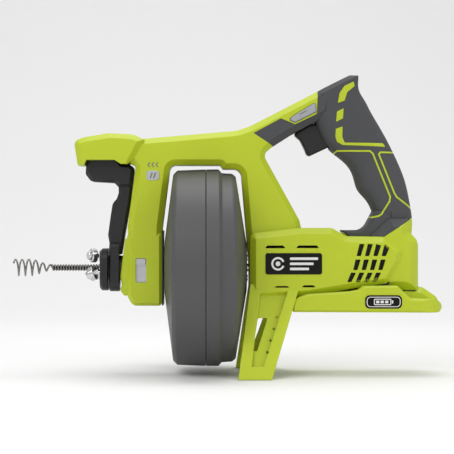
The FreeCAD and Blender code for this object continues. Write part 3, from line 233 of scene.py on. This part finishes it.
def buildFinish(name, look):
    material = bpy.data.materials.new(name)
    material.use_nodes = True
    tree = material.node_tree
    shader = tree.nodes["Principled BSDF"]
    shader.inputs["Roughness"].default_value = look["rough"]
    shader.inputs["Metallic"].default_value = look.get("metallic", 0.0)
    shader.inputs["Specular IOR Level"].default_value = look.get("specular", 0.5)

    grain = tree.nodes.new("ShaderNodeGroup")
    grain.node_tree = grainGroup
    grain.inputs["Grain Scale"].default_value = look["grain"]
    edge = tree.nodes.new("ShaderNodeGroup")
    edge.node_tree = edgeGroup
    edge.inputs["Radius"].default_value = look["radius"]
    edge.inputs["Strength"].default_value = look["edge"]

    # slow random change of tone, then painted light along the edges: a painted highlight by default,
    # painted shade where a finish gives a dark edge colour
    dark = [c * (1 - look["vary"]) for c in look["color"]]
    light = [min(1.0, c * (1 + look["vary"])) for c in look["color"]]
    shade = tree.nodes.new("ShaderNodeMix")
    shade.data_type = "RGBA"
    shade.inputs["A"].default_value = (*dark, 1)
    shade.inputs["B"].default_value = (*light, 1)
    tree.links.new(grain.outputs["Shade"], shade.inputs["Factor"])
    paintedEdgeLight = tree.nodes.new("ShaderNodeMix")
    paintedEdgeLight.data_type = "RGBA"
    # edges painted lighter by default, a painted highlight; the grip gives a near-black edge colour,
    # painted shade
    paintedEdgeLightShade = look.get("paintedEdgeLightShade", [min(1.0, c * 1.25 + 0.06) for c in look["color"]])
    paintedEdgeLight.inputs["B"].default_value = (*paintedEdgeLightShade, 1)
    tree.links.new(shade.outputs["Result"], paintedEdgeLight.inputs["A"])
    tree.links.new(edge.outputs["Edge"], paintedEdgeLight.inputs["Factor"])
    tree.links.new(paintedEdgeLight.outputs["Result"], shader.inputs["Base Color"])

    # gloss follows the grain a little
    spread = tree.nodes.new("ShaderNodeMapRange")
    spread.inputs["To Min"].default_value = max(0.04, look["rough"] - 0.06)
    spread.inputs["To Max"].default_value = min(1.0, look["rough"] + 0.06)
    tree.links.new(grain.outputs["Shade"], spread.inputs["Value"])
    tree.links.new(spread.outputs["Result"], shader.inputs["Roughness"])

    bump = tree.nodes.new("ShaderNodeBump")
    bump.inputs["Strength"].default_value = look["bump"]
    bump.inputs["Distance"].default_value = 0.0004
    tree.links.new(grain.outputs["Height"], bump.inputs["Height"])
    tree.links.new(edge.outputs["Normal"], bump.inputs["Normal"])
    normal = bump.outputs["Normal"]
    if look.get("dots"):
        dots = tree.nodes.new("ShaderNodeGroup")
        dots.node_tree = dotGroup
        raised = tree.nodes.new("ShaderNodeBump")
        raised.inputs["Strength"].default_value = 0.55
        raised.inputs["Distance"].default_value = 0.0008
        tree.links.new(dots.outputs["Height"], raised.inputs["Height"])
        tree.links.new(normal, raised.inputs["Normal"])
        normal = raised.outputs["Normal"]
    tree.links.new(normal, shader.inputs["Normal"])
    return material


finish = {name: buildFinish(name, look) for name, look in finishes.items()}
for nodeName, obj in nodes.items():
    look = finish[slotOf[nodeName]]
    for materialSlot in obj.material_slots:
        materialSlot.material = look
print("finishes on", len(nodes), "nodes")


# helpers for new pieces

def addMesh(name, bm, slotName, body, look=None):
    bmesh.ops.recalc_face_normals(bm, faces=bm.faces)
    mesh = bpy.data.meshes.new(name)
    bm.to_mesh(mesh)
    bm.free()
    return addPiece(name, mesh, slotName, body, look)


def addPiece(name, mesh, slotName, body, look=None):
    obj = bpy.data.objects.new(name, mesh)
    bpy.context.collection.objects.link(obj)
    mesh.materials.clear()
    mesh.materials.append(finish[look or slotName])
    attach(obj, body)
    return obj


def smooth(mesh):
    mesh.polygons.foreach_set("use_smooth", [True] * len(mesh.polygons))


def plateFromOutline(bm, points, y0, y1):
    # closed prism of an outline seen from the side
    near = [bm.verts.new((x, y0, z)) for x, z in points]
    far = [bm.verts.new((x, y1, z)) for x, z in points]
    bm.faces.new(near)
    bm.faces.new(list(reversed(far)))
    for i in range(len(points)):
        j = (i + 1) % len(points)
        bm.faces.new((near[i], far[i], far[j], near[j]))


def roundedRect(cx, cz, width, height, radius, steps=6):
    points = []
    for k, (sx, sz) in enumerate(((1, 1), (-1, 1), (-1, -1), (1, -1))):
        for i in range(steps + 1):
            a = math.radians(90 * k + 90 * i / steps)
            points.append((cx + sx * (width / 2 - radius) + radius * math.cos(a),
                           cz + sz * (height / 2 - radius) + radius * math.sin(a)))
    return points


def ringFromOutlines(bm, outer, inner, y0, y1):
    # frame between two outlines with the same number of points
    layers = [[bm.verts.new((x, y, z)) for x, z in loop] for loop in (outer, inner) for y in (y0, y1)]
    outNear, outFar, inNear, inFar = layers
    count = len(outer)
    for i in range(count):
        j = (i + 1) % count
        bm.faces.new((outNear[i], outNear[j], inNear[j], inNear[i]))
        bm.faces.new((outFar[j], outFar[i], inFar[i], inFar[j]))
        bm.faces.new((outNear[j], outNear[i], outFar[i], outFar[j]))
        bm.faces.new((inNear[i], inNear[j], inFar[j], inFar[i]))


# wound cable and flared coil, one tree for both

coilTreeInputs = [
    ("Start X", "NodeSocketFloat", 0.0), ("Length", "NodeSocketFloat", 0.1),
    ("Turns", "NodeSocketFloat", 10.0), ("Radius", "NodeSocketFloat", 0.002),
    ("Flare Radius", "NodeSocketFloat", 0.002), ("Flare Start", "NodeSocketFloat", 0.0),
    ("Flare End", "NodeSocketFloat", 1.0), ("Pitch Growth", "NodeSocketFloat", 1.0),
    ("Wire Radius", "NodeSocketFloat", 0.0006), ("Axis Z", "NodeSocketFloat", 0.1),
    ("Points", "NodeSocketInt", 100), ("Material", "NodeSocketMaterial", None),
]


def buildCoilTree():
    tree = bpy.data.node_groups.new("woundWire", "GeometryNodeTree")
    for label, kind, value in coilTreeInputs:
        socket = tree.interface.new_socket(name=label, in_out="INPUT", socket_type=kind)
        if value is not None:
            socket.default_value = value
    tree.interface.new_socket(name="Geometry", in_out="OUTPUT", socket_type="NodeSocketGeometry")
    into = tree.nodes.new("NodeGroupInput")
    out = tree.nodes.new("NodeGroupOutput")
    line = tree.nodes.new("GeometryNodeCurvePrimitiveLine")
    resample = tree.nodes.new("GeometryNodeResampleCurve")
    tree.links.new(line.outputs["Curve"], resample.inputs["Curve"])
    tree.links.new(into.outputs["Points"], resample.inputs["Count"])
    along = tree.nodes.new("GeometryNodeSplineParameter").outputs["Factor"]
    # position along the axis and angle round it
    stretched = mathNode(tree, "POWER", along, into.outputs["Pitch Growth"])
    x = mathNode(tree, "ADD", mathNode(tree, "MULTIPLY", stretched, into.outputs["Length"]),
                 into.outputs["Start X"])
    angle = mathNode(tree, "MULTIPLY", mathNode(tree, "MULTIPLY", along, into.outputs["Turns"]),
                     2 * math.pi)
    flare = tree.nodes.new("ShaderNodeMapRange")
    flare.interpolation_type = "SMOOTHSTEP"
    tree.links.new(along, flare.inputs["Value"])
    tree.links.new(into.outputs["Flare Start"], flare.inputs["From Min"])
    tree.links.new(into.outputs["Flare End"], flare.inputs["From Max"])
    tree.links.new(into.outputs["Radius"], flare.inputs["To Min"])
    tree.links.new(into.outputs["Flare Radius"], flare.inputs["To Max"])
    radius = flare.outputs["Result"]
    y = mathNode(tree, "MULTIPLY", radius, mathNode(tree, "COSINE", angle))
    z = mathNode(tree, "ADD", mathNode(tree, "MULTIPLY", radius, mathNode(tree, "SINE", angle)),
                 into.outputs["Axis Z"])
    place = tree.nodes.new("ShaderNodeCombineXYZ")
    for socket, value in zip(place.inputs, (x, y, z)):
        tree.links.new(value, socket)
    setPosition = tree.nodes.new("GeometryNodeSetPosition")
    tree.links.new(resample.outputs["Curve"], setPosition.inputs["Geometry"])
    tree.links.new(place.outputs["Vector"], setPosition.inputs["Position"])
    profile = tree.nodes.new("GeometryNodeCurvePrimitiveCircle")
    profile.inputs["Resolution"].default_value = 10
    tree.links.new(into.outputs["Wire Radius"], profile.inputs["Radius"])
    sweep = tree.nodes.new("GeometryNodeCurveToMesh")
    sweep.inputs["Fill Caps"].default_value = True
    tree.links.new(setPosition.outputs["Geometry"], sweep.inputs["Curve"])
    tree.links.new(profile.outputs["Curve"], sweep.inputs["Profile Curve"])
    realize = tree.nodes.new("GeometryNodeRealizeInstances")
    tree.links.new(sweep.outputs["Mesh"], realize.inputs["Geometry"])
    setMaterial = tree.nodes.new("GeometryNodeSetMaterial")
    tree.links.new(realize.outputs["Geometry"], setMaterial.inputs["Geometry"])
    tree.links.new(into.outputs["Material"], setMaterial.inputs["Material"])
    tree.links.new(setMaterial.outputs["Geometry"], out.inputs["Geometry"])
    return tree


def meshFromTree(name, tree, values):
    # the tree runs on an empty mesh; the plain result is kept
    holder = bpy.data.objects.new(name + "Maker", bpy.data.meshes.new(name + "Maker"))
    bpy.context.collection.objects.link(holder)
    modifier = holder.modifiers.new("maker", "NODES")
    modifier.node_group = tree
    for item in tree.interface.items_tree:
        if item.item_type == "SOCKET" and item.in_out == "INPUT" and item.name in values:
            modifier[item.identifier] = values[item.name]
    graph = bpy.context.evaluated_depsgraph_get()
    mesh = bpy.data.meshes.new_from_object(holder.evaluated_get(graph))
    holder.modifiers.remove(modifier)
    bpy.data.objects.remove(holder)
    mesh.name = name
    smooth(mesh)
    return mesh


coilTree = buildCoilTree()
cableLook = {"wireRadius": 0.00100, "pitch": 0.00275, "proud": 0.00025}
cableRadius = (leadHigh[1] - leadLow[1]) / 2 + cableLook["proud"]
cableLength = leadHigh[0] - leadLow[0] + 0.001
cableWire = addPiece("cableWire", meshFromTree("cableWire", coilTree, {
    "Start X": leadLow[0] - 0.001, "Length": cableLength, "Turns": cableLength / cableLook["pitch"],
    "Radius": cableRadius - cableLook["wireRadius"],
    "Flare Radius": cableRadius - cableLook["wireRadius"],
    "Wire Radius": cableLook["wireRadius"], "Axis Z": drumAxisZ,
    "Points": int(cableLength / cableLook["pitch"] * 18), "Material": finish["cable_steel"],
}), "cable_steel", "cable")
# dark cylinder inside the wound wire: painted shade standing in for the dark hollow seen between the
# turns
shadeCoreMesh = bmesh.new()
shadeCoreRadius = cableRadius - 0.0014
bmesh.ops.create_cone(shadeCoreMesh, cap_ends=True, segments=20, radius1=shadeCoreRadius,
                      radius2=shadeCoreRadius, depth=cableLength - 0.002)
shadeCoreMiddle = Matrix.Translation(((leadLow[0] + leadHigh[0]) / 2, 0, drumAxisZ))
alongX = Matrix.Rotation(math.pi / 2, 4, "Y")
bmesh.ops.transform(shadeCoreMesh, verts=shadeCoreMesh.verts, matrix=shadeCoreMiddle @ alongX)
cableShadeCore = addMesh("cableShadeCore", shadeCoreMesh, "cable_steel", "cable", "dark_screw")
smooth(cableShadeCore.data)
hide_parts("cable_lead")

bulbLook = {"wireRadius": 0.00090, "turns": 5.4, "flareEnd": 0.55}
bulbRadius = (bulbHigh[1] - bulbLow[1]) / 2
flaredCoil = addPiece("flaredCoil", meshFromTree("flaredCoil", coilTree, {
    "Start X": bulbHigh[0], "Length": -(bulbHigh[0] - bulbLow[0] - bulbLook["wireRadius"]),
    "Turns": bulbLook["turns"], "Radius": cableRadius - 0.0008,
    "Flare Radius": bulbRadius - bulbLook["wireRadius"], "Flare Start": 0.02,
    "Flare End": bulbLook["flareEnd"], "Pitch Growth": 0.92,
    "Wire Radius": bulbLook["wireRadius"], "Axis Z": drumAxisZ, "Points": 220,
    "Material": finish["cable_steel"],
}), "cable_steel", "cable")
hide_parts("auger_bulb")
print("cable and coil wound")


# plain marks on the badges

badgeMarks = {"proud": 0.00025, "paint": 0.0002}
sideMark = {"ringWide": 0.0019, "dot": 0.0046, "barTall": 0.0025, "barStep": 0.0050,
            "barShares": (0.50, 0.42, 0.34)}
shoeMark = {"rim": 0.003, "rimLine": 0.0007, "cellWide": 0.017, "cellTall": 0.0062, "cellLine": 0.0009,
            "fillWide": 0.0032, "fillTall": 0.0026, "fillStep": 0.0044}
feedMark = {"strokeHalf": 0.0028, "strokeStep": 0.0034, "chevronHalf": 0.0024, "chevronStep": 0.0040,
            "chevronRise": 0.0105}
columnFace = 0.02


def badgeFace(node):
    low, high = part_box(node)
    near = low[1] if low[1] < 0 else high[1]
    side = -1 if near < 0 else 1
    return (low[0] + high[0]) / 2, (low[2] + high[2]) / 2, high[0] - low[0], high[2] - low[2], near, side


def openRing(bm, cx, cz, radius, wide, y0, y1, start, sweep, steps=40):
    # part of a flat ring
    loops = []
    for i in range(steps + 1):
        a = math.radians(start + sweep * i / steps)
        for r in (radius + wide / 2, radius - wide / 2):
            for y in (y0, y1):
                loops.append(bm.verts.new((cx + r * math.cos(a), y, cz + r * math.sin(a))))
    for i in range(steps):
        a, b = loops[4 * i:4 * i + 4], loops[4 * i + 4:4 * i + 8]
        bm.faces.new((a[0], a[1], b[1], b[0]))
        bm.faces.new((a[2], b[2], b[3], a[3]))
        bm.faces.new((a[0], b[0], b[2], a[2]))
        bm.faces.new((a[1], a[3], b[3], b[1]))
    for end in (loops[:4], loops[-4:]):
        bm.faces.new((end[0], end[2], end[3], end[1]))


for side in ("left", "right"):
    # side badge: a drum seen from the end, and three bars
    cx, cz, width, height, face, way = badgeFace("side_badge_" + side)
    y0, y1 = face, face + way * badgeMarks["proud"]
    bm = bmesh.new()
    ringX = cx - width * 0.28
    openRing(bm, ringX, cz, height * 0.27, sideMark["ringWide"], y0, y1, 20, 320)
    plateFromOutline(bm, roundedRect(ringX, cz, sideMark["dot"], sideMark["dot"], 0.0022), y0, y1)
    for k, share in enumerate(sideMark["barShares"]):
        long = width * share
        barZ = cz + sideMark["barStep"] * (1 - k)
        bar = roundedRect(cx - width * 0.07 + long / 2, barZ, long, sideMark["barTall"], 0.0009)
        plateFromOutline(bm, bar, y0, y1)
    addMesh("sideMark_" + side, bm, "badge", "housing", "mark_white")
    # shoe badge: outline and a battery sign
    cx, cz, width, height, face, way = badgeFace("shoe_badge_" + side)
    y0, y1 = face, face + way * badgeMarks["proud"]
    bm = bmesh.new()
    rim, inner = shoeMark["rim"], shoeMark["rim"] + 2 * shoeMark["rimLine"]
    ringFromOutlines(bm, roundedRect(cx, cz, width - rim, height - rim, 0.0036),
                     roundedRect(cx, cz, width - inner, height - inner, 0.0030), y0, y1)
    wide, tall, line = shoeMark["cellWide"], shoeMark["cellTall"], 2 * shoeMark["cellLine"]
    ringFromOutlines(bm, roundedRect(cx - 0.001, cz, wide, tall, 0.0012),
                     roundedRect(cx - 0.001, cz, wide - line, tall - line, 0.0006), y0, y1)
    plateFromOutline(bm, roundedRect(cx + 0.0087, cz, 0.0014, 0.003, 0.0004), y0, y1)
    for k in range(3):
        fillX = cx - 0.0058 + shoeMark["fillStep"] * k
        fill = roundedRect(fillX, cz, shoeMark["fillWide"], shoeMark["fillTall"], 0.0005)
        plateFromOutline(bm, fill, y0, y1)
    addMesh("shoeMark_" + side, bm, "badge", "housing", "mark_white")
    # feed badge: two slanted strokes, and chevrons above it on the column
    cx, cz, width, height, face, way = badgeFace("feed_badge_" + side)
    y0, y1 = face, face + way * badgeMarks["paint"]
    bm = bmesh.new()
    for k in range(2):
        x = cx - 0.0024 + feedMark["strokeStep"] * k
        low, high = cz - feedMark["strokeHalf"], cz + feedMark["strokeHalf"]
        plateFromOutline(bm, [(x - 0.0008, low), (x + 0.0006, low),
                              (x + 0.0026, high), (x + 0.0012, high)], y0, y1)
    addMesh("feedStroke_" + side, bm, "silver_label", "housing", "mark_grey")
    bm = bmesh.new()
    column = way * columnFace
    for k in range(3):
        x = cx - 0.0048 + feedMark["chevronStep"] * k
        z, half = cz + feedMark["chevronRise"], feedMark["chevronHalf"]
        plateFromOutline(bm, [(x + 0.0026, z + half), (x + 0.0012, z + half), (x - 0.0008, z),
                              (x + 0.0012, z - half), (x + 0.0026, z - half), (x + 0.0006, z)],
                         column, column + way * 0.0001)
    addMesh("feedChevron_" + side, bm, "badge", "housing", "mark_grey")

# dark barred sheets behind the air slots, painted shade for the dark inside of the housing, and a mark
# on the selector
ventShadeSheet = {"fromRear": 0.0725, "toRear": 0.0265, "low": -0.0165, "high": 0.0265, "inside": 0.0055,
              "thick": 0.0004, "pitch": 0.0021, "bar": 0.0007}
barrelFace = abs(badgeFace("side_badge_left")[4]) - 0.0009
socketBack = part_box("battery_receiver")[1][0]


def addVentShadeSheet(side):
    x0, x1 = socketBack - ventShadeSheet["fromRear"], socketBack - ventShadeSheet["toRear"]
    z0, z1 = drumAxisZ + ventShadeSheet["low"], drumAxisZ + ventShadeSheet["high"]
    face = side * (barrelFace - ventShadeSheet["inside"])
    bm = bmesh.new()
    plateFromOutline(bm, roundedRect((x0 + x1) / 2, (z0 + z1) / 2, x1 - x0, z1 - z0, 0.003),
                     face, face - side * ventShadeSheet["thick"])
    x = x0 + ventShadeSheet["pitch"]
    while x < x1 - ventShadeSheet["pitch"]:
        bar = roundedRect(x, (z0 + z1) / 2, ventShadeSheet["bar"], z1 - z0 - 0.004, 0.0003, 2)
        plateFromOutline(bm, bar, face, face + side * ventShadeSheet["thick"])
        x += ventShadeSheet["pitch"]
    addMesh("ventShadeSheet_" + ("left" if side < 0 else "right"), bm, "black_plastic", "housing")


for side in (-1, 1):
    addVentShadeSheet(side)
    low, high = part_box("direction_selector")
    face = low[1] if side < 0 else high[1]
    cx, cz = (low[0] + high[0]) / 2, (low[2] + high[2]) / 2
    bm = bmesh.new()
    stroke = [(cx - 0.0040, cz - 0.0022), (cx + 0.0030, cz + 0.0016),
              (cx + 0.0026, cz + 0.0024), (cx - 0.0042, cz - 0.0014)]
    plateFromOutline(bm, stroke, face, face + side * 0.0001)
    addMesh("selectorMark_" + ("left" if side < 0 else "right"), bm, "selector_plastic", "selector_body",
            "mark_grey")
print("marks placed")


# floor, light and camera

def addLight(name, location, target, size, power, tint=(1, 1, 1)):
    data = bpy.data.lights.new(name, "AREA")
    data.shape = "RECTANGLE"
    data.size, data.size_y = size
    data.energy = power
    data.color = tint
    obj = bpy.data.objects.new(name, data)
    bpy.context.collection.objects.link(obj)
    obj.location = location
    obj.rotation_euler = (Vector(target) - Vector(location)).to_track_quat("-Z", "Y").to_euler()


def addFloor():
    # one sheet: level floor that curves up into a back wall
    depths = [(-3.0, 0.0), (0.9, 0.0)]
    for k in range(1, 13):
        a = math.radians(90 * k / 12)
        depths.append((0.9 + 1.2 * math.sin(a), 1.2 - 1.2 * math.cos(a)))
    depths.append((2.1, 5.0))
    bm = bmesh.new()
    rows = [[bm.verts.new((x, y, z - 0.0004)) for x in (-5.0, 5.0)] for y, z in depths]
    for a, b in zip(rows, rows[1:]):
        bm.faces.new((a[0], a[1], b[1], b[0]))
    mesh = bpy.data.meshes.new("studioFloor")
    bm.to_mesh(mesh)
    bm.free()
    smooth(mesh)
    obj = bpy.data.objects.new("studioFloor", mesh)
    bpy.context.collection.objects.link(obj)
    material = bpy.data.materials.new("studioFloor")
    material.use_nodes = True
    shader = material.node_tree.nodes["Principled BSDF"]
    shader.inputs["Base Color"].default_value = (0.86, 0.86, 0.86, 1)
    shader.inputs["Roughness"].default_value = 0.85
    mesh.materials.append(material)


addFloor()
world = bpy.data.worlds.new("studio")
world.use_nodes = True
world.node_tree.nodes["Background"].inputs["Color"].default_value = (1, 1, 1, 1)
world.node_tree.nodes["Background"].inputs["Strength"].default_value = 0.62
bpy.context.scene.world = world
addLight("keyLight", (-1.0, -1.6, 1.5), (0, 0, 0.12), (1.4, 1.0), 15)
addLight("fillLight", (1.5, -1.4, 0.9), (0, 0, 0.12), (1.0, 1.4), 6)
addLight("topLight", (0.1, 0.2, 1.8), (0, 0, 0.1), (1.6, 1.0), 16)

cameraLook = {"distance": 1.5, "side": -0.021, "height": 0.146, "frameWidth": 0.454}
cameraData = bpy.data.cameras.new("camera")
cameraData.lens = cameraData.sensor_width * cameraLook["distance"] / cameraLook["frameWidth"]
camera = bpy.data.objects.new("camera", cameraData)
bpy.context.collection.objects.link(camera)
camera.location = (cameraLook["side"], -cameraLook["distance"], cameraLook["height"])
aim = Vector((0, 0, cameraLook["height"])) - camera.location
camera.rotation_euler = aim.to_track_quat("-Z", "Y").to_euler()
bpy.context.scene.camera = camera
bpy.context.scene.view_settings.view_transform = "Standard"
print("studio ready")
